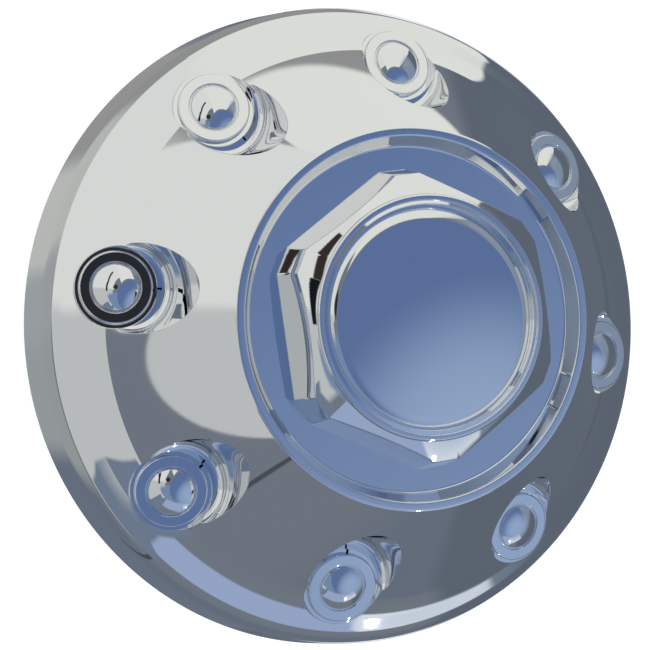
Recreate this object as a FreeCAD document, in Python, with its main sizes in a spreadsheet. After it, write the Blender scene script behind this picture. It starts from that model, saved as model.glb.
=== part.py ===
import FreeCAD, Part
import Sketcher
import math
import os

# Wheel center cap: one hollow moulding with eight leaning lug covers and a chamfered
# hexagon boss, and the spring wire ring inside its snap legs. +Z is the cap's axis and
# the origin is the middle of the flat rim that it rests on.

doc = FreeCAD.newDocument("center_cap")
sizes = doc.addObject("Spreadsheet::Sheet", "sizes")

# Lengths in millimetres, angles in degrees. A tilt is measured from the rim's plane.
driving_sizes = {
    # Rim, which lies outside the lug covers' circle, skirt and shoulder
    "rim_margin": 19.95,
    "wall": 2.6,
    "skirt_height": 14.5,
    "skirt_lean": 6,
    "shoulder_radius": 9.5,
    # Valley between the shoulder and the steep main slope
    "valley_tilt": 27,
    "valley_setback": 12,
    "valley_blend": 12,
    "slope_tilt": 51.6,
    # Raised bead round the boss and the flat floor inside it
    "bead_radius": 57,
    "bead_outer_round": 1.2,
    "bead_crest_width": 1.5,
    "bead_inner_round": 0.8,
    "bead_inner_tilt": 61,
    "bead_foot_round": 1.2,
    "floor_drop": 4.4,
    # Hexagon boss, each of its corners cut back
    "boss_sides": 6,
    "boss_half_width": 40.7,
    "boss_corner_cut": 2.5,
    "boss_turn": 15,
    "boss_draft": 10,
    "boss_height": 14.6,
    "boss_chamfer": 30,
    "boss_edge_round": 0.8,
    # Round plateau, set in from the boss's top edge, its rim and the domed disc
    "plateau_margin": 2.125,
    "plateau_rim_rise": 0.8,
    "plateau_rim_width": 1.8,
    "plateau_step_width": 1.3,
    "plateau_step_drop": 0.5,
    "disc_gap_width": 1.1,
    "disc_gap_depth": 1.3,
    "disc_edge_round": 9,
    "disc_edge_width": 3.2,
    "disc_edge_drop": 1.1,
    "disc_crown": 2.2,
    # Lug covers, their faces sunk below the line of the slope
    "lug_count": 8,
    "lug_circle_radius": 82.55,
    "lug_sink": 3.17,
    "lug_lean": 17,
    "button_radius": 6.8,
    "button_crown": 1.6,
    "button_groove_width": 0.9,
    "button_groove_slant": 0.25,
    "button_groove_depth": 0.7,
    "land_radius": 11,
    "land_round": 0.5,
    "seat_radius": 12.3,
    "seat_depth": 1.5,
    "seat_draft": 10,
    "seat_skirt": 9,
    # Wells that the lug covers lie in
    "well_shift": 3,
    "well_radius": 13.3,
    "well_round": 2.6,
    "well_draft": 4,
    # Snap legs on the hidden side and the wire ring inside them
    "leg_count": 8,
    "leg_turn": 22.5,
    "leg_setback": 13.1,
    "leg_thickness": 2.2,
    "leg_width": 15,
    "leg_recess": 1,
    "leg_root": 1.04,
    "barb_reach": 1.3,
    "barb_height": 2.4,
    "hook_reach": 2.2,
    "hook_height": 1.6,
    "wire_diameter": 2.2,
    "wire_clearance": 0.15,
    "ring_gap_angle": 6,
    # How far cutting sections reach beyond the material they clear
    "tool_reach": 60,
}
for row, (alias, value) in enumerate(driving_sizes.items(), start=1):
    sizes.set(f"A{row}", alias)
    sizes.set(f"B{row}", str(value))
    sizes.setAlias(f"B{row}", alias)
doc.recompute()


def number(expression):
    """The value of an expression in the spreadsheet's names."""
    return float(sizes.evalExpression(expression))


def origin_feature(body, role):
    """A plane or axis of the body's own origin."""
    return next(item for item in body.Origin.OriginFeatures if item.Role == role)


def place_sketch(body, name, plane, base=("0", "0", "0"), turn="0", turn_axis=(0, 0, 1)):
    """An empty sketch on an origin plane, moved and turned in that plane's own frame."""
    sketch = body.newObject("Sketcher::SketchObject", name)
    sketch.AttachmentSupport = [(origin_feature(body, plane), "")]
    sketch.MapMode = "FlatFace"
    turning = FreeCAD.Rotation(FreeCAD.Vector(*turn_axis), number(turn))
    sketch.AttachmentOffset = FreeCAD.Placement(FreeCAD.Vector(), turning)
    for direction, expression in zip("xyz", base):
        if expression != "0":
            sketch.setExpression(f"AttachmentOffset.Base.{direction}", expression)
    if turn != "0":
        sketch.setExpression("AttachmentOffset.Rotation.Angle", turn)
    return sketch


def arc_edge(start, end, radius, turning):
    """An arc from start to end: turning is +1 to the left of the way, -1 to the right."""
    middle = (start + end) / 2
    chord = end - start
    half = chord.Length / 2
    side = FreeCAD.Vector(-chord.y, chord.x, 0).normalize() * turning
    centre = middle + side * math.sqrt(max(radius * radius - half * half, 0))
    first, last = (start, end) if turning > 0 else (end, start)
    angles = [math.atan2(point.y - centre.y, point.x - centre.x) for point in (first, last)]
    circle = Part.Circle(centre, FreeCAD.Vector(0, 0, 1), radius)
    return Part.ArcOfCircle(circle, angles[0], angles[1])


def draw_profile(sketch, corners):
    """A closed outline: each corner is (across, up), and (across, up, radius, turning)
    where an arc leads on to the next corner. Every corner is held by its expressions."""
    points = [FreeCAD.Vector(number(corner[0]), number(corner[1]), 0) for corner in corners]
    starts = []
    ends = []
    for index, corner in enumerate(corners):
        start = points[index]
        end = points[(index + 1) % len(points)]
        if len(corner) == 2:
            edge = sketch.addGeometry(Part.LineSegment(start, end), False)
            starts.append((edge, 1))
            ends.append((edge, 2))
            continue
        radius, turning = corner[2], corner[3]
        edge = sketch.addGeometry(arc_edge(start, end, number(radius), turning), False)
        starts.append((edge, 1 if turning > 0 else 2))
        ends.append((edge, 2 if turning > 0 else 1))
    for index, corner in enumerate(corners):
        edge, end_number = starts[index]
        sketch.addConstraint(Sketcher.Constraint("Coincident", *ends[index - 1], edge, end_number))
        for kind, axis, expression in (("DistanceX", -2, corner[0]), ("DistanceY", -1, corner[1])):
            if expression == "0":
                sketch.addConstraint(Sketcher.Constraint("PointOnObject", edge, end_number, axis))
                continue
            held = Sketcher.Constraint(kind, -1, 1, edge, end_number, number(expression))
            sketch.setExpression(f"Constraints[{sketch.addConstraint(held)}]", expression)
        if len(corner) == 4:
            held = Sketcher.Constraint("Radius", edge, number(corner[2]))
            sketch.setExpression(f"Constraints[{sketch.addConstraint(held)}]", corner[2])


def turned(body, kind, name, sketch):
    """A full turn of a sketch about its own upright axis, added or cut away."""
    feature = body.newObject(f"PartDesign::{kind}", name)
    feature.Profile = sketch
    feature.ReferenceAxis = (sketch, ["V_Axis"])
    feature.Angle = 360
    sketch.Visibility = False
    return feature


def repeated(body, name, originals, count):
    """Copies of the features, evenly round the cap's axis."""
    pattern = body.newObject("PartDesign::PolarPattern", name)
    pattern.Originals = originals
    pattern.Axis = (origin_feature(body, "Z_Axis"), [""])
    pattern.Angle = 360
    pattern.setExpression("Occurrences", count)
    body.Tip = pattern
    return pattern


def arc_point(centre, radius, tilt, side):
    """Where a section's arc has this tilt, on the + or - side of the arc's centre."""
    return (
        f"({centre[0]} {side} {radius} * sin({tilt}))",
        f"({centre[1]} {side} {radius} * cos({tilt}))",
    )


# Radii that follow from the lug covers' circle and from the boss.
RIM_RADIUS = "(sizes.lug_circle_radius + sizes.rim_margin)"
VALLEY_RADIUS = f"({RIM_RADIUS} - sizes.valley_setback)"
LEG_RADIUS = f"({RIM_RADIUS} - sizes.leg_setback)"
BOSS_TOP = "(sizes.boss_half_width - sizes.boss_height * tan(sizes.boss_draft))"
BOSS_REACH = "(sizes.boss_half_width / cos(180 / sizes.boss_sides) - sizes.boss_corner_cut)"
PLATEAU_RADIUS = f"({BOSS_TOP} - sizes.plateau_margin)"

# The cap's outer section, inwards and upwards from the rim: skirt, shoulder, valley, slope,
# bead, floor and boss. Each point is worked out from the sizes and the point before.
SHOULDER_CENTRE = (
    f"({RIM_RADIUS} - sizes.skirt_height * tan(sizes.skirt_lean)"
    " - sizes.shoulder_radius * cos(sizes.skirt_lean))",
    "(sizes.skirt_height - sizes.shoulder_radius * sin(sizes.skirt_lean))",
)
SHOULDER_END = arc_point(SHOULDER_CENTRE, "sizes.shoulder_radius", "sizes.valley_tilt", "+")
VALLEY_UP = (
    f"({SHOULDER_END[1]} + ({SHOULDER_END[0]} - {VALLEY_RADIUS}) * tan(sizes.valley_tilt))"
)
VALLEY_CENTRE = (
    f"({VALLEY_RADIUS} + sizes.valley_blend * sin(sizes.valley_tilt))",
    f"({VALLEY_UP} + sizes.valley_blend * cos(sizes.valley_tilt))",
)
SLOPE_START = arc_point(VALLEY_CENTRE, "sizes.valley_blend", "sizes.slope_tilt", "-")
BEAD_UP = f"({SLOPE_START[1]} + ({SLOPE_START[0]} - sizes.bead_radius) * tan(sizes.slope_tilt))"
CREST_UP = f"({BEAD_UP} + sizes.bead_outer_round * (1 - cos(sizes.slope_tilt)))"
CREST_OUTER = "(sizes.bead_radius - sizes.bead_outer_round * sin(sizes.slope_tilt))"
CREST_INNER = f"({CREST_OUTER} - sizes.bead_crest_width)"
FLOOR_UP = f"({CREST_UP} - sizes.floor_drop)"
BEAD_WALL_TOP = (
    f"({CREST_INNER} - sizes.bead_inner_round * sin(sizes.bead_inner_tilt))",
    f"({CREST_UP} - sizes.bead_inner_round * (1 - cos(sizes.bead_inner_tilt)))",
)
BEAD_FOOT_UP = f"({FLOOR_UP} + sizes.bead_foot_round * (1 - cos(sizes.bead_inner_tilt)))"
BEAD_FOOT = (
    f"({BEAD_WALL_TOP[0]} - ({BEAD_WALL_TOP[1]} - {BEAD_FOOT_UP}) / tan(sizes.bead_inner_tilt))",
    BEAD_FOOT_UP,
)
FLOOR_RADIUS = f"({BEAD_FOOT[0]} - sizes.bead_foot_round * sin(sizes.bead_inner_tilt))"
PLATEAU_UP = f"({FLOOR_UP} + sizes.boss_height)"
LUG_FALL = "((sizes.lug_circle_radius - sizes.bead_radius) * tan(sizes.slope_tilt))"
LUG_UP = f"({BEAD_UP} - {LUG_FALL} - sizes.lug_sink)"


def bell(body, name, inset, top):
    """The body of revolution. The inset moves its lower section square to the surface, so
    that one set of rules gives both faces of the even wall. Its top follows as given."""
    shoulder_round = f"(sizes.shoulder_radius - {inset})"
    valley_round = f"(sizes.valley_blend + {inset})"
    sketch = place_sketch(body, f"{name}_section", "XZ_Plane")
    draw_profile(sketch, [
        ("0", "0"),
        (f"{RIM_RADIUS} - {inset} / cos(sizes.skirt_lean)", "0"),
        (*arc_point(SHOULDER_CENTRE, shoulder_round, "90 - sizes.skirt_lean", "+"), shoulder_round, 1),
        arc_point(SHOULDER_CENTRE, shoulder_round, "sizes.valley_tilt", "+"),
        (*arc_point(VALLEY_CENTRE, valley_round, "sizes.valley_tilt", "-"), valley_round, -1),
        arc_point(VALLEY_CENTRE, valley_round, "sizes.slope_tilt", "-"),
        *top,
    ])
    return turned(body, "Revolution", name, sketch)


def boss(body, name, inset, floor):
    """The hexagon boss with cut corners: a drafted prism whose top is turned to a cone by a
    tool that stays within the bead."""
    half_width = f"(sizes.boss_half_width - {inset} / cos(sizes.boss_draft))"
    reach = f"({BOSS_REACH} - {inset} / cos(sizes.boss_draft))"
    half_side = "(180 / sizes.boss_sides)"
    flat_end = f"(({reach} - {half_width} * cos{half_side}) / sin{half_side})"
    corners = []
    for side in range(round(number("sizes.boss_sides"))):
        middle = f"(sizes.boss_turn + {2 * side} * {half_side})"
        for along, back in (("-", "+"), ("+", "-")):
            corners.append((
                f"{half_width} * cos{middle} {back} {flat_end} * sin{middle}",
                f"{half_width} * sin{middle} {along} {flat_end} * cos{middle}",
            ))
    sketch = place_sketch(body, f"{name}_outline", "XY_Plane", ("0", "0", floor))
    draw_profile(sketch, corners)
    pad = body.newObject("PartDesign::Pad", name)
    pad.Profile = sketch
    pad.setExpression("Length", f"{PLATEAU_UP} - {inset} - {floor}")
    pad.setExpression("TaperAngle", "-sizes.boss_draft")
    sketch.Visibility = False

    top = f"({PLATEAU_UP} - {inset} / cos(sizes.boss_chamfer))"
    fall = f"({FLOOR_RADIUS} - {PLATEAU_RADIUS}) * tan(sizes.boss_chamfer)"
    sketch = place_sketch(body, f"{name}_chamfer_section", "XZ_Plane")
    draw_profile(sketch, [
        (PLATEAU_RADIUS, top),
        (FLOOR_RADIUS, f"{top} - {fall}"),
        (FLOOR_RADIUS, f"{top} + sizes.tool_reach"),
        (PLATEAU_RADIUS, f"{top} + sizes.tool_reach"),
    ])
    return turned(body, "Groove", f"{name}_chamfer", sketch)


def boss_edges(shape):
    """Names of the boss's upright edges and of those between its sides and its chamfer."""
    inside = number(f"{PLATEAU_RADIUS} + sizes.boss_edge_round")
    outside = number(FLOOR_RADIUS)
    foot = number(f"{FLOOR_UP} + sizes.boss_edge_round")
    names = []
    for index, edge in enumerate(shape.Edges, start=1):
        points = [vertex.Point for vertex in edge.Vertexes]
        radii = [math.hypot(point.x, point.y) for point in points]
        if inside < min(radii) and max(radii) < outside and foot < max(point.z for point in points):
            names.append(f"Edge{index}")
    return names


def lug_sketch(body, name):
    """A sketch whose upright axis is a lug cover's own axis, leaning outwards."""
    centre = ("sizes.lug_circle_radius", LUG_UP, "0")
    return place_sketch(body, name, "XZ_Plane", centre, "-sizes.lug_lean")


def lug_covers(body, inset, seat_up, face):
    """The lug covers, each made in three steps: the upright well that it lies in is cut, then
    the seat round it, and then it is added as one turned piece with a drafted skirt."""
    seat_rise = "(sizes.seat_radius * sin(sizes.lug_lean) - sizes.seat_depth * cos(sizes.lug_lean))"
    bottom = f"{LUG_UP} + {seat_rise} - {inset}"
    radius = f"(sizes.well_radius + {inset})"
    bend = f"(sizes.well_round + {inset})"
    centre = "sizes.lug_circle_radius - sizes.well_shift"
    sketch = place_sketch(body, f"{body.Name}_well_section", "XZ_Plane", (centre, bottom, "0"))
    draw_profile(sketch, [
        ("0", "0"),
        (f"{radius} - {bend}", "0", bend, 1),
        (radius, bend),
        (f"{radius} + (sizes.tool_reach - {bend}) * tan(sizes.well_draft)", "sizes.tool_reach"),
        ("0", "sizes.tool_reach"),
    ])
    well = turned(body, "Groove", f"{body.Name}_well", sketch)

    sketch = lug_sketch(body, f"{body.Name}_seat_section")
    draw_profile(sketch, [
        ("0", seat_up),
        (f"sizes.seat_radius + {inset}", seat_up),
        (f"sizes.seat_radius + {inset}", "sizes.tool_reach"),
        ("0", "sizes.tool_reach"),
    ])
    seat = turned(body, "Groove", f"{body.Name}_seat", sketch)

    cover_radius = f"sizes.seat_radius - {inset}"
    flare = "(sizes.seat_skirt - sizes.seat_depth) * tan(sizes.seat_draft)"
    sketch = lug_sketch(body, f"{body.Name}_cover_section")
    draw_profile(sketch, [
        ("0", "-sizes.seat_skirt"),
        (f"{cover_radius} + {flare}", "-sizes.seat_skirt"),
        (cover_radius, seat_up),
        *face,
    ])
    cover = turned(body, "Revolution", f"{body.Name}_cover", sketch)
    return repeated(body, f"{body.Name}_lugs", [well, seat, cover], "sizes.lug_count")


# The outer form begins with the bell, the bead and the floor inside it.
cap = doc.addObject("PartDesign::Body", "cap_shell")
bell(cap, "bell", "0", [
    ("sizes.bead_radius", BEAD_UP, "sizes.bead_outer_round", 1),
    (CREST_OUTER, CREST_UP),
    (CREST_INNER, CREST_UP, "sizes.bead_inner_round", 1),
    BEAD_WALL_TOP,
    (*BEAD_FOOT, "sizes.bead_foot_round", -1),
    (FLOOR_RADIUS, FLOOR_UP),
    ("0", FLOOR_UP),
])

# The boss stands on the floor, its edges rounded.
chamfered = boss(cap, "boss", "0", FLOOR_UP)
doc.recompute()
rounds = cap.newObject("PartDesign::Fillet", "boss_rounds")
rounds.Base = (chamfered, boss_edges(chamfered.Shape))
rounds.setExpression("Radius", "sizes.boss_edge_round")

# On the boss lies the round plateau: a raised rim, a step, a narrow gap and the domed disc.
rim_up = f"({PLATEAU_UP} + sizes.plateau_rim_rise)"
step_up = f"({rim_up} - sizes.plateau_step_drop)"
gap_up = f"({step_up} - sizes.disc_gap_depth)"
step_radius = f"({PLATEAU_RADIUS} - sizes.plateau_rim_width)"
gap_radius = f"({step_radius} - sizes.plateau_step_width)"
disc_radius = f"({gap_radius} - sizes.disc_gap_width)"
disc_flat = f"({disc_radius} - sizes.disc_edge_width)"
crown_radius = f"(({disc_flat}^2 + sizes.disc_crown^2) / (2 * sizes.disc_crown))"
section = place_sketch(cap, "plateau_section", "XZ_Plane")
draw_profile(section, [
    ("0", f"{PLATEAU_UP} - sizes.wall"),
    (PLATEAU_RADIUS, f"{PLATEAU_UP} - sizes.wall"),
    (PLATEAU_RADIUS, PLATEAU_UP, "sizes.plateau_rim_rise", 1),
    (f"{PLATEAU_RADIUS} - sizes.plateau_rim_rise", rim_up),
    (step_radius, rim_up),
    (step_radius, step_up),
    (gap_radius, step_up),
    (gap_radius, gap_up),
    (disc_radius, gap_up),
    (disc_radius, f"{step_up} - sizes.disc_edge_drop", "sizes.disc_edge_round", 1),
    (disc_flat, step_up, crown_radius, 1),
    ("0", f"{step_up} + sizes.disc_crown"),
])
turned(cap, "Revolution", "plateau", section)

# The lug covers' faces, inwards from the seat: a flat land, a groove and a domed button.
groove_outer = "(sizes.button_radius + sizes.button_groove_width)"
button_curve = "((sizes.button_radius^2 + sizes.button_crown^2) / (2 * sizes.button_crown))"
lug_covers(cap, "0", "-sizes.seat_depth", [
    ("sizes.land_radius", "-sizes.seat_depth"),
    ("sizes.land_radius", "-sizes.land_round", "sizes.land_round", 1),
    ("sizes.land_radius - sizes.land_round", "0"),
    (groove_outer, "0"),
    (f"{groove_outer} - sizes.button_groove_slant", "-sizes.button_groove_depth"),
    ("sizes.button_radius + sizes.button_groove_slant", "-sizes.button_groove_depth"),
    ("sizes.button_radius", "0", button_curve, 1),
    ("0", "sizes.button_crown"),
])

# The hollow is one tool: the same forms, moved in by the wall.
hollow = doc.addObject("PartDesign::Body", "hollow")
under_floor = f"({FLOOR_UP} - sizes.wall)"
slope_drop = f"({BEAD_UP} - sizes.wall / cos(sizes.slope_tilt) - {under_floor})"
under_floor_radius = f"sizes.bead_radius + {slope_drop} / tan(sizes.slope_tilt)"
bell(hollow, "bell_hollow", "sizes.wall", [(under_floor_radius, under_floor), ("0", under_floor)])
boss(hollow, "boss_hollow", "sizes.wall", under_floor)
under_seat = "-sizes.seat_depth - sizes.wall"
lug_covers(hollow, "sizes.wall", under_seat, [("0", under_seat)])

doc.recompute()
cut = cap.newObject("PartDesign::Boolean", "hollow_cut")
cut.Type = "Cut"
cut.setObjects([hollow])
cap.Tip = cut

# The snap legs hang from the shoulder between the lug covers. Each has a barb outside that
# clips over the wheel and a hook inside that carries the wire ring.
leg_outer = f"({LEG_RADIUS} + sizes.leg_thickness)"
barb_up = "sizes.leg_recess + sizes.barb_height"
hook_up = "sizes.leg_recess + sizes.hook_height"
hook_inner = f"{LEG_RADIUS} - sizes.hook_reach"
root_up = f"{VALLEY_UP} - ({leg_outer} - {VALLEY_RADIUS}) * tan(sizes.valley_tilt) - sizes.leg_root"
section = place_sketch(cap, "leg_section", "XZ_Plane", turn="sizes.leg_turn", turn_axis=(0, 1, 0))
draw_profile(section, [
    (hook_inner, "sizes.leg_recess"),
    (leg_outer, "sizes.leg_recess"),
    (f"{leg_outer} + sizes.barb_reach", barb_up),
    (leg_outer, barb_up),
    (leg_outer, root_up),
    (LEG_RADIUS, root_up),
    (LEG_RADIUS, hook_up),
    (hook_inner, hook_up),
])
leg = cap.newObject("PartDesign::Pad", "leg")
leg.Profile = section
leg.Midplane = True
leg.setExpression("Length", "sizes.leg_width")
section.Visibility = False
repeated(cap, "legs", [leg], "sizes.leg_count")

# The wire ring lies on the hooks: an open hoop of spring wire, its gap between two legs.
ring = doc.addObject("Part::Torus", "retention_ring")
wire_offset = "sizes.wire_clearance + sizes.wire_diameter / 2"
ring.setExpression("Radius1", f"{LEG_RADIUS} - ({wire_offset})")
ring.setExpression("Radius2", "sizes.wire_diameter / 2")
ring.setExpression("Angle3", "360 - sizes.ring_gap_angle")
gap_half = "sizes.ring_gap_angle / 2"
ring.Placement.Rotation = FreeCAD.Rotation(FreeCAD.Vector(0, 0, 1), number(gap_half))
ring.setExpression("Placement.Rotation.Angle", gap_half)
ring.setExpression("Placement.Base.z", f"{hook_up} + {wire_offset}")
doc.recompute()

for item in doc.Objects:
    if "Invalid" in item.State or "Error" in item.State:
        raise RuntimeError(f"{item.Name} failed: {item.State}")
os.makedirs("parts", exist_ok=True)
for part in (cap, ring):
    if part.Shape.isNull() or not part.Shape.isValid() or len(part.Shape.Solids) != 1:
        raise RuntimeError(f"{part.Label} has no single valid solid")
    part.Shape.exportStep(os.path.join("parts", f"{part.Label}.step"))
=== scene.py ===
import math
import bpy
from mathutils import Matrix, Vector


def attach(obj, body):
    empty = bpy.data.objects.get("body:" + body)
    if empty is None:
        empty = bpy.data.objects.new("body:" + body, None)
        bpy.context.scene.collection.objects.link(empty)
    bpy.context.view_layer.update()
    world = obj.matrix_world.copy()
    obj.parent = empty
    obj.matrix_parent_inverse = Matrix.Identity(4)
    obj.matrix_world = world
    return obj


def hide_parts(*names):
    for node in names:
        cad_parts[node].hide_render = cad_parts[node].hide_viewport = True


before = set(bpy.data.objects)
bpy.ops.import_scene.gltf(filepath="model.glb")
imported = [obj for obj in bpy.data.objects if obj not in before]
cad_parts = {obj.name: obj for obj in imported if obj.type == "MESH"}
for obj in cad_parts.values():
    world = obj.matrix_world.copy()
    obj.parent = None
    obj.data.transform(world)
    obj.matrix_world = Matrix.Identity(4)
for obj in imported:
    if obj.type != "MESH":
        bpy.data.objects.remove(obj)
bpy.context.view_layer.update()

# The camera looks down on the cap lying on its rim, a little from the side. The cap's axis
# leans away from the line of sight by the two leans, and the picture is rolled.
PICTURE_WIDTH_PX = 650
FOCAL_LENGTH_PX = 2038.4
SENSOR_WIDTH_MM = 36
CAP_LEAN_SIDEWAYS = 0.38172
CAP_LEAN_UPWARDS = -0.03611
CAP_ROLL = -0.11351
CAMERA_OFFSET = Vector((-0.0029634, 0.0002818, 0.66187))
CAMERA_NEAREST = 0.01

cap_in_view = (
    Matrix.Rotation(CAP_LEAN_UPWARDS, 3, "X")
    @ Matrix.Rotation(CAP_LEAN_SIDEWAYS, 3, "Y")
    @ Matrix.Rotation(CAP_ROLL, 3, "Z")
)
view_turn = cap_in_view.transposed()
bpy.ops.object.camera_add(location=view_turn @ CAMERA_OFFSET, rotation=view_turn.to_euler())
camera = bpy.context.active_object
camera.name = "camera"
camera.data.sensor_width = SENSOR_WIDTH_MM
camera.data.lens = FOCAL_LENGTH_PX / PICTURE_WIDTH_PX * SENSOR_WIDTH_MM
camera.data.clip_start = CAMERA_NEAREST
bpy.context.scene.camera = camera

# The bell is the body of the one-piece plastic moulding. Its section goes from the rim up
# the skirt and shoulder, over the valley and the steep slope, and round the raised bead
# down to the floor. It is modelled solid first, and the hollow is cut from it further on.
RIM_RADIUS = 0.1025
WALL = 0.0026
SKIRT_HEIGHT = 0.0145
SKIRT_LEAN = math.radians(6)
SHOULDER_ROUND = 0.0095
VALLEY_TILT = math.radians(27)
VALLEY_START = 0.09283
VALLEY_BLEND = 0.024
SLOPE_TILT = math.radians(51.6)
BEAD_RADIUS = 0.057
BEAD_OUTER_ROUND = 0.0012
BEAD_CREST = 0.0015
BEAD_INNER_ROUND = 0.0008
BEAD_INNER_TILT = math.radians(61)
BEAD_FOOT_ROUND = 0.0012
FLOOR_DROP = 0.0044
BELL_STEPS = 256
BELL_SEAM = math.radians(0.4)
ARC_STEP = math.radians(4)
SOFT_EDGE = math.radians(20)
SAME_PLACE = 1e-7


def rounded_outline(corners):
    """Points of an outline whose corners are (across, up), or (across, up, radius, turning)
    where an arc leads on to the next corner."""
    points = []
    for corner, following in zip(corners, corners[1:] + corners[:1]):
        start = Vector(corner[:2])
        end = Vector(following[:2])
        points.append(start)
        if len(corner) == 2:
            continue
        radius, turning = corner[2:]
        chord = end - start
        height = math.sqrt(max(radius * radius - chord.length_squared / 4, 0))
        centre = (start + end) / 2 + Vector((-chord.y, chord.x)).normalized() * height * turning
        arc = 2 * math.asin(min(chord.length / 2 / radius, 1))
        steps = max(3, math.ceil(arc / ARC_STEP))
        spoke = start - centre
        for step in range(1, steps):
            points.append(centre + Matrix.Rotation(turning * arc * step / steps, 2) @ spoke)
    return points


def arc_point(centre, radius, tilt):
    """The point of a section's arc where the surface has this tilt."""
    return (centre[0] + radius * math.sin(tilt), centre[1] + radius * math.cos(tilt))


def edit(piece):
    """Opens one piece in edit mode with all of it selected."""
    bpy.ops.object.select_all(action="DESELECT")
    bpy.context.view_layer.objects.active = piece
    piece.select_set(True)
    bpy.ops.object.mode_set(mode="EDIT")
    bpy.ops.mesh.select_all(action="SELECT")


def remember_shading(piece):
    """Stores a clean form's smooth normals on its face corners, so that they last through
    the cuts that follow."""
    bpy.ops.object.mode_set(mode="OBJECT")
    bpy.ops.object.shade_smooth_by_angle(angle=SOFT_EDGE)
    mesh = piece.data
    if "form_normal" in mesh.attributes:
        mesh.attributes.remove(mesh.attributes["form_normal"])
    normals = [axis for corner in mesh.corner_normals for axis in corner.vector]
    stored = mesh.attributes.new("form_normal", "FLOAT_VECTOR", "CORNER")
    stored.data.foreach_set("vector", normals)


def turned(name, corners, steps, seam=0.0):
    """A solid turned from an outline that starts and ends on its own upright axis. The seam
    is the angle at which the turn starts."""
    mesh = bpy.data.meshes.new(name)
    points = rounded_outline(corners)
    edges = [(index, index + 1) for index in range(len(points) - 1)]
    mesh.from_pydata([(point.x, 0, point.y) for point in points], edges, [])
    mesh.transform(Matrix.Rotation(seam, 4, "Z"))
    piece = bpy.data.objects.new(name, mesh)
    bpy.context.scene.collection.objects.link(piece)
    edit(piece)
    bpy.ops.mesh.spin(steps=steps, angle=math.tau, center=(0, 0, 0), axis=(0, 0, 1))
    bpy.ops.mesh.select_all(action="SELECT")
    bpy.ops.mesh.remove_doubles(threshold=SAME_PLACE)
    bpy.ops.mesh.normals_make_consistent(inside=False)
    remember_shading(piece)
    return piece


def combine(piece, tool, operation):
    """Cuts a tool from a piece, or joins it on, and removes the tool."""
    change = piece.modifiers.new(operation.lower(), "BOOLEAN")
    change.operation = operation
    change.solver = "EXACT"
    change.object = tool
    bpy.ops.object.select_all(action="DESELECT")
    bpy.context.view_layer.objects.active = piece
    piece.select_set(True)
    bpy.ops.object.modifier_apply(modifier=change.name)
    bpy.data.objects.remove(tool)


shoulder_centre = (
    RIM_RADIUS - SKIRT_HEIGHT * math.tan(SKIRT_LEAN) - SHOULDER_ROUND * math.cos(SKIRT_LEAN),
    SKIRT_HEIGHT - SHOULDER_ROUND * math.sin(SKIRT_LEAN),
)
shoulder_end = arc_point(shoulder_centre, SHOULDER_ROUND, VALLEY_TILT)
valley_up = shoulder_end[1] + (shoulder_end[0] - VALLEY_START) * math.tan(VALLEY_TILT)
valley_centre = (
    VALLEY_START + VALLEY_BLEND * math.sin(VALLEY_TILT),
    valley_up + VALLEY_BLEND * math.cos(VALLEY_TILT),
)
slope_start = arc_point(valley_centre, -VALLEY_BLEND, SLOPE_TILT)
bead_up = slope_start[1] + (slope_start[0] - BEAD_RADIUS) * math.tan(SLOPE_TILT)
crest_up = bead_up + BEAD_OUTER_ROUND * (1 - math.cos(SLOPE_TILT))
floor_up = crest_up - FLOOR_DROP


def lower_section(inset, bottom):
    """The section from the axis out along the bottom and up to the slope, moved in by the
    inset."""
    shoulder_round = SHOULDER_ROUND - inset
    valley_round = VALLEY_BLEND + inset
    bottom_radius = RIM_RADIUS - inset / math.cos(SKIRT_LEAN) - bottom * math.tan(SKIRT_LEAN)
    return [
        (0, bottom),
        (bottom_radius, bottom),
        (*arc_point(shoulder_centre, shoulder_round, math.pi / 2 - SKIRT_LEAN), shoulder_round, 1),
        arc_point(shoulder_centre, shoulder_round, VALLEY_TILT),
        (*arc_point(valley_centre, -valley_round, VALLEY_TILT), valley_round, -1),
        arc_point(valley_centre, -valley_round, SLOPE_TILT),
    ]


crest_outer = BEAD_RADIUS - BEAD_OUTER_ROUND * math.sin(SLOPE_TILT)
crest_inner = crest_outer - BEAD_CREST
bead_wall_top = (
    crest_inner - BEAD_INNER_ROUND * math.sin(BEAD_INNER_TILT),
    crest_up - BEAD_INNER_ROUND * (1 - math.cos(BEAD_INNER_TILT)),
)
bead_foot_up = floor_up + BEAD_FOOT_ROUND * (1 - math.cos(BEAD_INNER_TILT))
bead_foot = bead_wall_top[0] - (bead_wall_top[1] - bead_foot_up) / math.tan(BEAD_INNER_TILT)
floor_radius = bead_foot - BEAD_FOOT_ROUND * math.sin(BEAD_INNER_TILT)
shell = turned("cap_shell_plated", lower_section(0, 0) + [
    (BEAD_RADIUS, bead_up, BEAD_OUTER_ROUND, 1),
    (crest_outer, crest_up),
    (crest_inner, crest_up, BEAD_INNER_ROUND, 1),
    bead_wall_top,
    (bead_foot, bead_foot_up, BEAD_FOOT_ROUND, -1),
    (floor_radius, floor_up),
    (0, floor_up),
], BELL_STEPS, BELL_SEAM)

# The hexagon boss stands on the floor like the end of a big nut: drafted sides, cut
# corners, a chamfer turned round its top, and softly rounded edges.
BOSS_SIDES = 6
BOSS_HALF_WIDTH = 0.0407
BOSS_CORNER_CUT = 0.0025
BOSS_TURN = math.radians(15)
BOSS_DRAFT = math.radians(10)
BOSS_HEIGHT = 0.0146
BOSS_CHAMFER = math.radians(28.3)
BOSS_EDGE_WIDTH = 0.0003
BOSS_EDGE_SEGMENTS = 4
BOSS_STEPS = 256
BOSS_SEAM = math.radians(0.9)
JOINING_DEPTH = 5e-6
PLATEAU_RADIUS = 0.036
PLATEAU_RECESS = 0.002
TOOL_REACH = 0.06
plateau_up = floor_up + BOSS_HEIGHT


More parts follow.
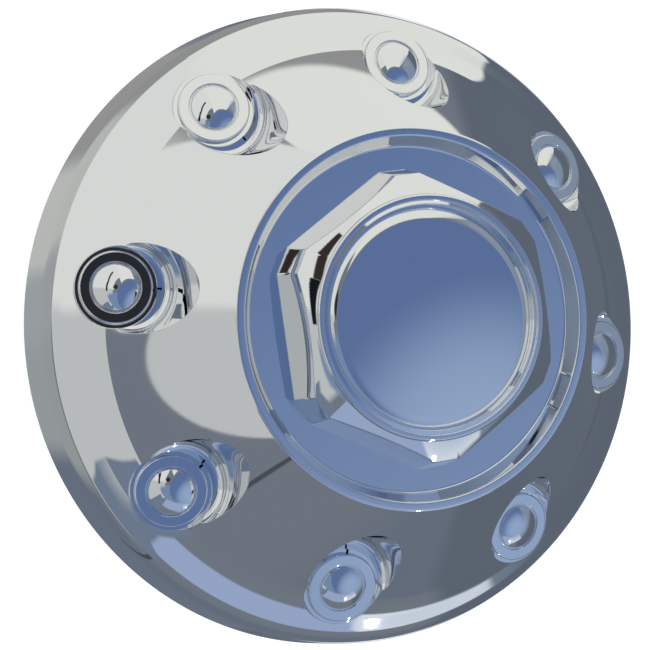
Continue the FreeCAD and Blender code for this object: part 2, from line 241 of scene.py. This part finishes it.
def boss_solid(name, inset, bottom, recess):
    """The boss as one solid from the given height up to its top, which can have a recess for
    the plateau."""
    half_width = BOSS_HALF_WIDTH - inset / math.cos(BOSS_DRAFT)
    half_side = math.pi / BOSS_SIDES
    reach = BOSS_HALF_WIDTH / math.cos(half_side) - BOSS_CORNER_CUT - inset / math.cos(BOSS_DRAFT)
    flat_end = (reach - half_width * math.cos(half_side)) / math.sin(half_side)
    height = plateau_up - inset - bottom
    loss = height * math.tan(BOSS_DRAFT)
    bpy.ops.mesh.primitive_circle_add(vertices=2 * BOSS_SIDES, radius=reach, fill_type="NGON")
    piece = bpy.context.active_object
    piece.name = name
    for vertex in piece.data.vertices:
        side, end = divmod(vertex.index, 2)
        middle = BOSS_TURN + 2 * half_side * side
        along = flat_end if end else -flat_end
        turn = Matrix.Rotation(middle, 3, "Z")
        vertex.co = turn @ Vector((half_width, along, 0)) + Vector((0, 0, bottom))
    edit(piece)
    bpy.ops.mesh.extrude_region_move(TRANSFORM_OT_translate={"value": (0, 0, height)})
    bpy.ops.object.mode_set(mode="OBJECT")
    for vertex in piece.data.vertices:
        if vertex.co.z > bottom + height / 2:
            spread = Vector((vertex.co.x, vertex.co.y))
            side = round((math.atan2(spread.y, spread.x) - BOSS_TURN) / (2 * half_side))
            middle = BOSS_TURN + 2 * half_side * side
            flat = Vector((math.cos(middle), math.sin(middle)))
            cross = Vector((-flat.y, flat.x))
            along = spread.dot(cross)
            top_width = half_width - loss
            corner = (reach - loss - top_width * math.cos(half_side)) / math.sin(half_side)
            moved = flat * top_width + cross * math.copysign(corner, along)
            vertex.co.x, vertex.co.y = moved
    edit(piece)
    bpy.ops.mesh.normals_make_consistent(inside=False)
    remember_shading(piece)
    top = plateau_up - inset / math.cos(BOSS_CHAMFER)
    fall = (TOOL_REACH - PLATEAU_RADIUS) * math.tan(BOSS_CHAMFER)
    cone = turned(f"{name}_chamfer", [
        (0, top - fall - height),
        (TOOL_REACH, top - fall - height),
        (TOOL_REACH, top - fall),
        (PLATEAU_RADIUS, top),
        (PLATEAU_RADIUS - recess, top - recess),
        (0, top - recess),
    ], BOSS_STEPS, BOSS_SEAM)
    combine(piece, cone, "INTERSECT")
    return piece


boss = boss_solid("boss", 0, floor_up - WALL / 2, PLATEAU_RECESS)
edit(boss)
bpy.ops.mesh.select_all(action="DESELECT")
bpy.ops.mesh.select_mode(type="EDGE")
bpy.ops.mesh.edges_select_sharp(sharpness=SOFT_EDGE)
bpy.ops.object.mode_set(mode="OBJECT")
for edge in boss.data.edges:
    ends = [boss.data.vertices[index].co for index in edge.vertices]
    if max(end.xy.length for end in ends) < PLATEAU_RADIUS + BOSS_EDGE_WIDTH:
        edge.select = False
bpy.ops.object.mode_set(mode="EDIT")
bpy.ops.mesh.bevel(offset=BOSS_EDGE_WIDTH, segments=BOSS_EDGE_SEGMENTS, affect="EDGES")
remember_shading(boss)
combine(shell, boss, "UNION")

# On the boss lies the round plateau, turned in one with it: a raised rim, a step, a narrow
# gap and the slightly domed disc.
PLATEAU_RIM_RISE = 0.0008
PLATEAU_STEP_RADIUS = 0.0342
PLATEAU_STEP_DROP = 0.0005
PLATEAU_STEP_RISE = 0.0003
DISC_GAP_RADIUS = 0.0329
DISC_GAP_WIDTH = 0.0011
DISC_GAP_DEPTH = 0.0013
DISC_EDGE_ROUND = 0.009
DISC_EDGE_WIDTH = 0.0032
DISC_EDGE_DROP = 0.0011
DISC_CROWN = 0.0022

plateau_rim_up = plateau_up + PLATEAU_RIM_RISE
step_up = plateau_rim_up - PLATEAU_STEP_DROP
gap_up = step_up - DISC_GAP_DEPTH
disc_radius = DISC_GAP_RADIUS - DISC_GAP_WIDTH
disc_flat = disc_radius - DISC_EDGE_WIDTH
crown_curve = (disc_flat**2 + DISC_CROWN**2) / (2 * DISC_CROWN)
plateau = turned("plateau", [
    (0, plateau_up - WALL),
    (PLATEAU_RADIUS + JOINING_DEPTH, plateau_up - WALL),
    (PLATEAU_RADIUS + JOINING_DEPTH, plateau_up, PLATEAU_RIM_RISE, 1),
    (PLATEAU_RADIUS - PLATEAU_RIM_RISE, plateau_rim_up),
    (PLATEAU_STEP_RADIUS, plateau_rim_up),
    (PLATEAU_STEP_RADIUS, step_up),
    (DISC_GAP_RADIUS, step_up + PLATEAU_STEP_RISE),
    (DISC_GAP_RADIUS, gap_up),
    (disc_radius, gap_up),
    (disc_radius, step_up - DISC_EDGE_DROP, DISC_EDGE_ROUND, 1),
    (disc_flat, step_up, crown_curve, 1),
    (0, step_up + DISC_CROWN),
], BOSS_STEPS, BOSS_SEAM)
combine(shell, plateau, "UNION")

# The lug covers lie in wells of the slope, on the circle of the wheel's studs, each leaning
# outwards: a seat, a flat land, a groove and a domed button, all moulded in one.
LUG_COUNT = 8
LUG_CIRCLE = 0.08255
LUG_HEIGHT = 0.0298
LUG_LEAN = math.radians(17)
BUTTON_RADIUS = 0.0068
BUTTON_CROWN = 0.0016
BUTTON_GROOVE_WIDTH = 0.0009
BUTTON_GROOVE_SLANT = 0.00025
BUTTON_GROOVE_DEPTH = 0.0007
LAND_RADIUS = 0.011
LAND_ROUND = 0.0005
SEAT_RADIUS = 0.0123
SEAT_DEPTH = 0.0015
SEAT_DRAFT = math.radians(10)
SEAT_SKIRT = 0.009
WELL_SHIFT = 0.003
WELL_RADIUS = 0.0133
WELL_ROUND = 0.0026
WELL_DRAFT = math.radians(4)
LUG_STEPS = 96
WELL_SEAM = math.radians(1.3)
SEAT_SEAM = math.radians(0.6)


def ring_of(piece, place):
    """A ring of copies of one form, each moved to its place and turned about the axis."""
    copies = []
    for index in range(LUG_COUNT):
        copy = piece.copy()
        copy.data = piece.data.copy()
        bpy.context.scene.collection.objects.link(copy)
        turn = Matrix.Rotation(index * math.tau / LUG_COUNT, 4, "Z") @ place
        copy.data.transform(turn)
        normals = copy.data.attributes["form_normal"].data
        rotation = turn.to_3x3()
        for item in normals:
            item.vector = rotation @ item.vector
        copies.append(copy)
    bpy.data.objects.remove(piece)
    bpy.ops.object.select_all(action="DESELECT")
    for copy in copies:
        copy.select_set(True)
    bpy.context.view_layer.objects.active = copies[0]
    bpy.ops.object.join()
    return copies[0]


def add_lug_covers(piece, inset, seat_up, face, steps):
    """Cuts the wells and seats of a piece and joins its lug covers on."""
    lug_place = Matrix.Translation((LUG_CIRCLE, 0, LUG_HEIGHT)) @ Matrix.Rotation(LUG_LEAN, 4, "Y")
    seat_rise = SEAT_RADIUS * math.sin(LUG_LEAN) - SEAT_DEPTH * math.cos(LUG_LEAN)
    radius = WELL_RADIUS + inset
    bend = WELL_ROUND + inset
    well = turned("well", [
        (0, 0),
        (radius - bend, 0, bend, 1),
        (radius, bend),
        (radius + (TOOL_REACH - bend) * math.tan(WELL_DRAFT), TOOL_REACH),
        (0, TOOL_REACH),
    ], steps, WELL_SEAM)
    well_up = LUG_HEIGHT + seat_rise - inset - JOINING_DEPTH
    well_place = Matrix.Translation((LUG_CIRCLE - WELL_SHIFT, 0, well_up))
    combine(piece, ring_of(well, well_place), "DIFFERENCE")
    seat = turned("seat", [
        (0, seat_up),
        (SEAT_RADIUS + inset, seat_up),
        (SEAT_RADIUS + inset, TOOL_REACH),
        (0, TOOL_REACH),
    ], steps, SEAT_SEAM)
    combine(piece, ring_of(seat, lug_place), "DIFFERENCE")
    flare = (SEAT_SKIRT - SEAT_DEPTH) * math.tan(SEAT_DRAFT)
    cover_radius = SEAT_RADIUS - inset + JOINING_DEPTH
    cover = turned("cover", [
        (0, -SEAT_SKIRT),
        (cover_radius + flare, -SEAT_SKIRT),
        (cover_radius, seat_up + JOINING_DEPTH),
        *face,
    ], steps, SEAT_SEAM)
    combine(piece, ring_of(cover, lug_place), "UNION")


groove_outer = BUTTON_RADIUS + BUTTON_GROOVE_WIDTH
button_curve = (BUTTON_RADIUS**2 + BUTTON_CROWN**2) / (2 * BUTTON_CROWN)
add_lug_covers(shell, 0, -SEAT_DEPTH, [
    (LAND_RADIUS, -SEAT_DEPTH + JOINING_DEPTH),
    (LAND_RADIUS, -LAND_ROUND, LAND_ROUND, 1),
    (LAND_RADIUS - LAND_ROUND, 0),
    (groove_outer, 0),
    (groove_outer - BUTTON_GROOVE_SLANT, -BUTTON_GROOVE_DEPTH),
    (BUTTON_RADIUS + BUTTON_GROOVE_SLANT, -BUTTON_GROOVE_DEPTH),
    (BUTTON_RADIUS, 0, button_curve, 1),
    (0, BUTTON_CROWN),
], LUG_STEPS)

# The hollow follows the outer form a wall's thickness in, with a room under each lug cover.
HOLLOW_STEPS = 128
HOLLOW_LUG_STEPS = 48
under_floor = floor_up - WALL
slope_drop = bead_up - WALL / math.cos(SLOPE_TILT) - under_floor
hollow = turned("hollow", lower_section(WALL, -WALL) + [
    (BEAD_RADIUS + slope_drop / math.tan(SLOPE_TILT), under_floor),
    (0, under_floor),
], HOLLOW_STEPS)
combine(hollow, boss_solid("boss_hollow", WALL, under_floor - WALL, 0), "UNION")
under_seat = -SEAT_DEPTH - WALL
add_lug_covers(hollow, WALL, under_seat, [(0, under_seat + JOINING_DEPTH)], HOLLOW_LUG_STEPS)
combine(shell, hollow, "DIFFERENCE")

# Snap legs hang from the shoulder between the lug covers. Each has a barb that clips over
# the wheel's edge and a hook that holds the wire ring.
LEG_TURN = math.radians(22.5)
LEG_INNER_RADIUS = 0.0894
LEG_THICKNESS = 0.0022
LEG_WIDTH = 0.015
LEG_RECESS = 0.001
LEG_ROOT = 0.0004
BARB_REACH = 0.0013
BARB_HEIGHT = 0.0024
HOOK_REACH = 0.0022
HOOK_HEIGHT = 0.0016

leg_outer = LEG_INNER_RADIUS + LEG_THICKNESS
leg_side = [
    (LEG_INNER_RADIUS - HOOK_REACH, LEG_RECESS),
    (leg_outer, LEG_RECESS),
    (leg_outer + BARB_REACH, LEG_RECESS + BARB_HEIGHT),
    (leg_outer, LEG_RECESS + BARB_HEIGHT),
    (leg_outer, valley_up - LEG_ROOT),
    (LEG_INNER_RADIUS, valley_up - LEG_ROOT),
    (LEG_INNER_RADIUS, LEG_RECESS + HOOK_HEIGHT),
    (LEG_INNER_RADIUS - HOOK_REACH, LEG_RECESS + HOOK_HEIGHT),
]
leg_mesh = bpy.data.meshes.new("leg")
leg_mesh.from_pydata([(x, -LEG_WIDTH / 2, z) for x, z in leg_side], [], [range(len(leg_side))])
leg = bpy.data.objects.new("leg", leg_mesh)
bpy.context.scene.collection.objects.link(leg)
edit(leg)
bpy.ops.mesh.extrude_region_move(TRANSFORM_OT_translate={"value": (0, LEG_WIDTH, 0)})
bpy.ops.mesh.select_all(action="SELECT")
bpy.ops.mesh.normals_make_consistent(inside=False)
remember_shading(leg)
combine(shell, ring_of(leg, Matrix.Rotation(LEG_TURN, 4, "Z")), "UNION")

# The seams of the joined forms are closed up, and the forms take back the shading that was
# stored on them, face corner by face corner.
SEAM_WIDTH = 2e-5

edit(shell)
bpy.ops.mesh.remove_doubles(threshold=SEAM_WIDTH)
bpy.ops.mesh.dissolve_degenerate(threshold=SEAM_WIDTH / 10)
bpy.ops.object.mode_set(mode="OBJECT")
mesh = shell.data
mesh.validate()
for polygon in mesh.polygons:
    polygon.use_smooth = True
stored = mesh.attributes["form_normal"].data
normals = [None] * len(mesh.loops)
for polygon in mesh.polygons:
    for corner in polygon.loop_indices:
        normal = stored[corner].vector
        if normal.length < 0.5:
            normal = polygon.normal
        elif normal.dot(polygon.normal) < 0:
            normal = -normal
        normals[corner] = normal.normalized()
mesh.normals_split_custom_set(normals)
mesh.attributes.remove(mesh.attributes["form_normal"])
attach(shell, "root")
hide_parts("cap_shell")

# Bright chrome plating covers the moulding inside and out. It is nearly a mirror, with the
# slight waves of a plated moulding and a breath of haze.
CHROME_COLOUR = (0.8, 0.81, 0.83, 1)
CHROME_ROUGHNESS = 0.012
EDGE_SOFTNESS = 0.0003

chrome = bpy.data.materials.new("bright_chrome")
chrome.use_nodes = True
nodes = chrome.node_tree.nodes
links = chrome.node_tree.links
plating = nodes["Principled BSDF"]
plating.inputs["Base Color"].default_value = CHROME_COLOUR
plating.inputs["Metallic"].default_value = 1
place = nodes.new("ShaderNodeTexCoord")
haze = nodes.new("ShaderNodeTexNoise")
haze.inputs["Scale"].default_value = 35
haze.inputs["Detail"].default_value = 4
links.new(place.outputs["Object"], haze.inputs["Vector"])
haze_range = nodes.new("ShaderNodeMapRange")
haze_range.inputs["From Min"].default_value = 0.35
haze_range.inputs["From Max"].default_value = 0.8
haze_range.inputs["To Min"].default_value = CHROME_ROUGHNESS
haze_range.inputs["To Max"].default_value = 2.5 * CHROME_ROUGHNESS
links.new(haze.outputs["Fac"], haze_range.inputs["Value"])
links.new(haze_range.outputs["Result"], plating.inputs["Roughness"])
waves = nodes.new("ShaderNodeTexNoise")
waves.inputs["Scale"].default_value = 18
waves.inputs["Detail"].default_value = 1
links.new(place.outputs["Object"], waves.inputs["Vector"])
soft_edge = nodes.new("ShaderNodeBevel")
soft_edge.samples = 6
soft_edge.inputs["Radius"].default_value = EDGE_SOFTNESS
ripple = nodes.new("ShaderNodeBump")
ripple.inputs["Strength"].default_value = 0.06
ripple.inputs["Distance"].default_value = 0.001
links.new(waves.outputs["Fac"], ripple.inputs["Height"])
links.new(soft_edge.outputs["Normal"], ripple.inputs["Normal"])
links.new(ripple.outputs["Normal"], plating.inputs["Normal"])
shell.data.materials.clear()
shell.data.materials.append(chrome)

# The wire ring lies on the hooks of the snap legs. It is bare spring steel wire, bent to a
# ring with a gap, and its drawn surface has a fine, uneven sheen.
WIRE_COLOUR = (0.55, 0.55, 0.56, 1)

wire = bpy.data.materials.new("drawn_spring_steel")
wire.use_nodes = True
nodes = wire.node_tree.nodes
links = wire.node_tree.links
steel = nodes["Principled BSDF"]
steel.inputs["Base Color"].default_value = WIRE_COLOUR
steel.inputs["Metallic"].default_value = 1
place = nodes.new("ShaderNodeTexCoord")
lines = nodes.new("ShaderNodeTexNoise")
lines.inputs["Scale"].default_value = 900
lines.inputs["Detail"].default_value = 3
links.new(place.outputs["Object"], lines.inputs["Vector"])
steel_range = nodes.new("ShaderNodeMapRange")
steel_range.inputs["To Min"].default_value = 0.25
steel_range.inputs["To Max"].default_value = 0.45
links.new(lines.outputs["Fac"], steel_range.inputs["Value"])
links.new(steel_range.outputs["Result"], steel.inputs["Roughness"])
ring = bpy.data.objects["retention_ring"]
ring.data.materials.clear()
ring.data.materials.append(wire)

# The cap lies on a sheet of pale paper that reaches to the horizon and is white to the eye.
# The mirror finish shows the room instead of it.
FLOOR_SIZE = 6
FLOOR_GAP = 0.0002
FLOOR_COLOUR = (0.86, 0.86, 0.87, 1)
FIBRE_COLOUR = (0.88, 0.88, 0.885, 1)
FLOOR_GLOW = 0.66

bpy.ops.mesh.primitive_plane_add(size=FLOOR_SIZE, location=(0, 0, -FLOOR_GAP))
ground = bpy.context.active_object
ground.name = "floor"
ground.visible_glossy = False
paper = bpy.data.materials.new("pale_paper")
paper.use_nodes = True
nodes = paper.node_tree.nodes
links = paper.node_tree.links
sheet = nodes["Principled BSDF"]
sheet.inputs["Roughness"].default_value = 0.9
sheet.inputs["Specular IOR Level"].default_value = 0
place = nodes.new("ShaderNodeTexCoord")
fibres = nodes.new("ShaderNodeTexNoise")
fibres.inputs["Scale"].default_value = 60
links.new(place.outputs["Object"], fibres.inputs["Vector"])
tone = nodes.new("ShaderNodeMix")
tone.data_type = "RGBA"
tone.inputs["A"].default_value = FLOOR_COLOUR
tone.inputs["B"].default_value = FIBRE_COLOUR
links.new(fibres.outputs["Fac"], tone.inputs["Factor"])
links.new(tone.outputs["Result"], sheet.inputs["Base Color"])
seen = nodes.new("ShaderNodeLightPath")
mirrored = nodes.new("ShaderNodeMath")
mirrored.operation = "ADD"
links.new(seen.outputs["Is Glossy Ray"], mirrored.inputs[0])
links.new(seen.outputs["Is Transmission Ray"], mirrored.inputs[1])
looked_at = nodes.new("ShaderNodeMath")
looked_at.operation = "ADD"
links.new(seen.outputs["Is Camera Ray"], looked_at.inputs[0])
links.new(mirrored.outputs["Value"], looked_at.inputs[1])
glow = nodes.new("ShaderNodeMath")
glow.operation = "MULTIPLY"
glow.inputs[1].default_value = FLOOR_GLOW
links.new(looked_at.outputs["Value"], glow.inputs[0])
sheet.inputs["Emission Color"].default_value = (1, 1, 1, 1)
links.new(glow.outputs["Value"], sheet.inputs["Emission Strength"])
ground.data.materials.append(paper)

# The room round the cap is what the chrome shows: a clear blue opening overhead, pale walls
# on one side, shade on the other and a few bright screens. The eye itself sees it white. A
# screen has a bearing, half width, side softness, top and bottom tilt from straight up,
# softness, lean and colour. A patch has a bearing, tilt, half width, softness and colour.
ROOM_BASE = (113, 121, 130)
ROOM_STRENGTH = 1.14
ROOM_SCREENS = (
    (-90, 90, 1, 82, 181, 2, 8, (112, 119, 129)),
    (-90, 50, 8, 100, 181, 6, 0, (102, 111, 125)),
    (-165, 30, 6, 90, 181, 2, 0, (150, 154, 155)),
    (5, 50, 3, 76, 181, 4, 0, (93, 102, 113)),
    (145, 25, 6, 80, 181, 3, 0, (185, 186, 182)),
    (178, 10, 6, 88, 181, 3, 0, (155, 160, 161)),
    (100, 28, 6, 85, 181, 3, 0, (146, 146, 145)),
    (81, 30.5, 0.6, 25, 106.2, 0.15, -18.3, (226, 227, 220)),
    (147, 39, 4, 25, 90, 0.15, -7, (220, 222, 217)),
    (-148, 31, 3, 25, 84.9, 0.08, 1.5, (190, 193, 192)),
    (-122, 13, 1, 45, 84, 0.6, 9, (112, 124, 142)),
    (-112, 0.8, 0.4, 85, 140, 1, 0, (72, 78, 86)),
    (-84, 25, 1, 45, 66, 2, 14, (152, 168, 200)),
    (-47, 13, 1, 58, 74, 2, 8, (224, 229, 234)),
    (30, 20, 8, 45, 74, 8, 0, (138, 150, 166)),
    (5, 28, 10, 50, 72, 8, 0, (128, 142, 163)),
    (139, 17, 0.6, 41.2, 44.9, 0.4, -15, (52, 46, 44)),
    (173, 17, 0.6, 36.5, 40.4, 0.4, -3, (22, 26, 32)),
    (-120, 35, 10, 18, 41, 1, 6, (118, 138, 170)),
)
ROOM_PATCHES = (
    (50, 138, 9, 5, (250, 250, 248)),
    (62, 124, 4, 4, (250, 250, 248)),
    (-42, 140, 6, 4, (250, 250, 250)),
    (165, 19, 5, 2, (40, 42, 48)),
    (-24, 24, 34, 0.8, (92, 114, 156)),
    (-31, 44, 20, 17, (148, 168, 200)),
)


def light_of(colour):
    """A colour as written, 0 to 255, as the amount of light that shows it."""
    shares = [channel / 255 for channel in colour]
    return [s / 12.92 if s <= 0.04045 else ((s + 0.055) / 1.055) ** 2.4 for s in shares] + [1]


def room_math(operation, *values):
    """One arithmetic step of the room. Values are sockets or plain numbers."""
    step = nodes.new("ShaderNodeMath")
    step.operation = operation
    for index, value in enumerate(values):
        if isinstance(value, bpy.types.NodeSocket):
            links.new(value, step.inputs[index])
        else:
            step.inputs[index].default_value = value
    return step.outputs["Value"]


def room_dot(socket, direction):
    """How far a direction socket lies along a given direction."""
    along = nodes.new("ShaderNodeVectorMath")
    along.operation = "DOT_PRODUCT"
    along.inputs[1].default_value = direction
    links.new(socket, along.inputs[0])
    return along.outputs["Value"]


def room_step(value, low, high):
    """A soft step from 0 at the low value to 1 at the high value."""
    step = nodes.new("ShaderNodeMapRange")
    step.interpolation_type = "SMOOTHSTEP"
    step.inputs["From Min"].default_value = low
    step.inputs["From Max"].default_value = high
    links.new(value, step.inputs["Value"])
    return step.outputs["Result"]


def paint_room(under, mask, colour):
    """Lays one colour over what the room has so far, where the mask is 1."""
    layer = nodes.new("ShaderNodeMix")
    layer.data_type = "RGBA"
    layer.inputs["B"].default_value = light_of(colour)
    links.new(mask, layer.inputs["Factor"])
    links.new(under, layer.inputs["A"])
    return layer.outputs["Result"]


room = bpy.data.worlds.new("room")
room.use_nodes = True
bpy.context.scene.world = room
nodes = room.node_tree.nodes
links = room.node_tree.links
gaze = nodes.new("ShaderNodeTexCoord").outputs["Generated"]
tilt_of_gaze = room_math("ARCCOSINE", room_dot(gaze, (0, 0, 1)))
level = nodes.new("ShaderNodeVectorMath")
level.operation = "MULTIPLY"
level.inputs[1].default_value = (1, 1, 0)
links.new(gaze, level.inputs[0])
heading = nodes.new("ShaderNodeVectorMath")
heading.operation = "NORMALIZE"
links.new(level.outputs["Vector"], heading.inputs[0])
wall = nodes.new("ShaderNodeRGB")
wall.outputs["Color"].default_value = light_of(ROOM_BASE)
painted = wall.outputs["Color"]
for bearing, half_width, side_softness, top, bottom, softness, lean, colour in ROOM_SCREENS:
    turn = math.radians(bearing)
    ahead = room_dot(heading.outputs["Vector"], (math.cos(turn), math.sin(turn), 0))
    aside = room_dot(heading.outputs["Vector"], (-math.sin(turn), math.cos(turn), 0))
    leaned = room_math("MULTIPLY_ADD", aside, -math.radians(lean), tilt_of_gaze)
    mask = room_math("MULTIPLY", room_step(
        ahead,
        math.cos(math.radians(half_width + side_softness)),
        math.cos(math.radians(max(half_width - side_softness, 0))),
    ), room_step(leaned, math.radians(top - softness), math.radians(top + softness)))
    mask = room_math("MULTIPLY", mask, room_step(
        room_math("MULTIPLY", leaned, -1),
        -math.radians(bottom + softness),
        -math.radians(bottom - softness),
    ))
    painted = paint_room(painted, mask, colour)
for bearing, tilt, half_width, softness, colour in ROOM_PATCHES:
    turn, lowered = math.radians(bearing), math.radians(tilt)
    near = room_dot(gaze, (
        math.sin(lowered) * math.cos(turn),
        math.sin(lowered) * math.sin(turn),
        math.cos(lowered),
    ))
    painted = paint_room(painted, room_step(
        near,
        math.cos(math.radians(half_width + softness)),
        math.cos(math.radians(max(half_width - softness, 0))),
    ), colour)
links.new(painted, nodes["Background"].inputs["Color"])
nodes["Background"].inputs["Strength"].default_value = ROOM_STRENGTH
white = nodes.new("ShaderNodeBackground")
white.inputs["Color"].default_value = (1, 1, 1, 1)
white.inputs["Strength"].default_value = 1
eye = nodes.new("ShaderNodeLightPath")
seen_by_eye = nodes.new("ShaderNodeMixShader")
links.new(eye.outputs["Is Camera Ray"], seen_by_eye.inputs["Fac"])
links.new(nodes["Background"].outputs["Background"], seen_by_eye.inputs[1])
links.new(white.outputs["Background"], seen_by_eye.inputs[2])
links.new(seen_by_eye.outputs["Shader"], nodes["World Output"].inputs["Surface"])

# One small lamp stands low in front and sets the bright glints on the rounded edges.
LAMP_PLACE = (0.68, -1.08, 0.59)
LAMP_WIDTH = 0.05
LAMP_POWER_W = 6

bpy.ops.object.light_add(type="AREA", location=LAMP_PLACE)
lamp = bpy.context.active_object
lamp.data.shape = "DISK"
lamp.data.size = LAMP_WIDTH
lamp.data.energy = LAMP_POWER_W
lamp.rotation_euler = (-lamp.location).to_track_quat("-Z", "Y").to_euler()
bpy.context.scene.view_settings.view_transform = "Standard"
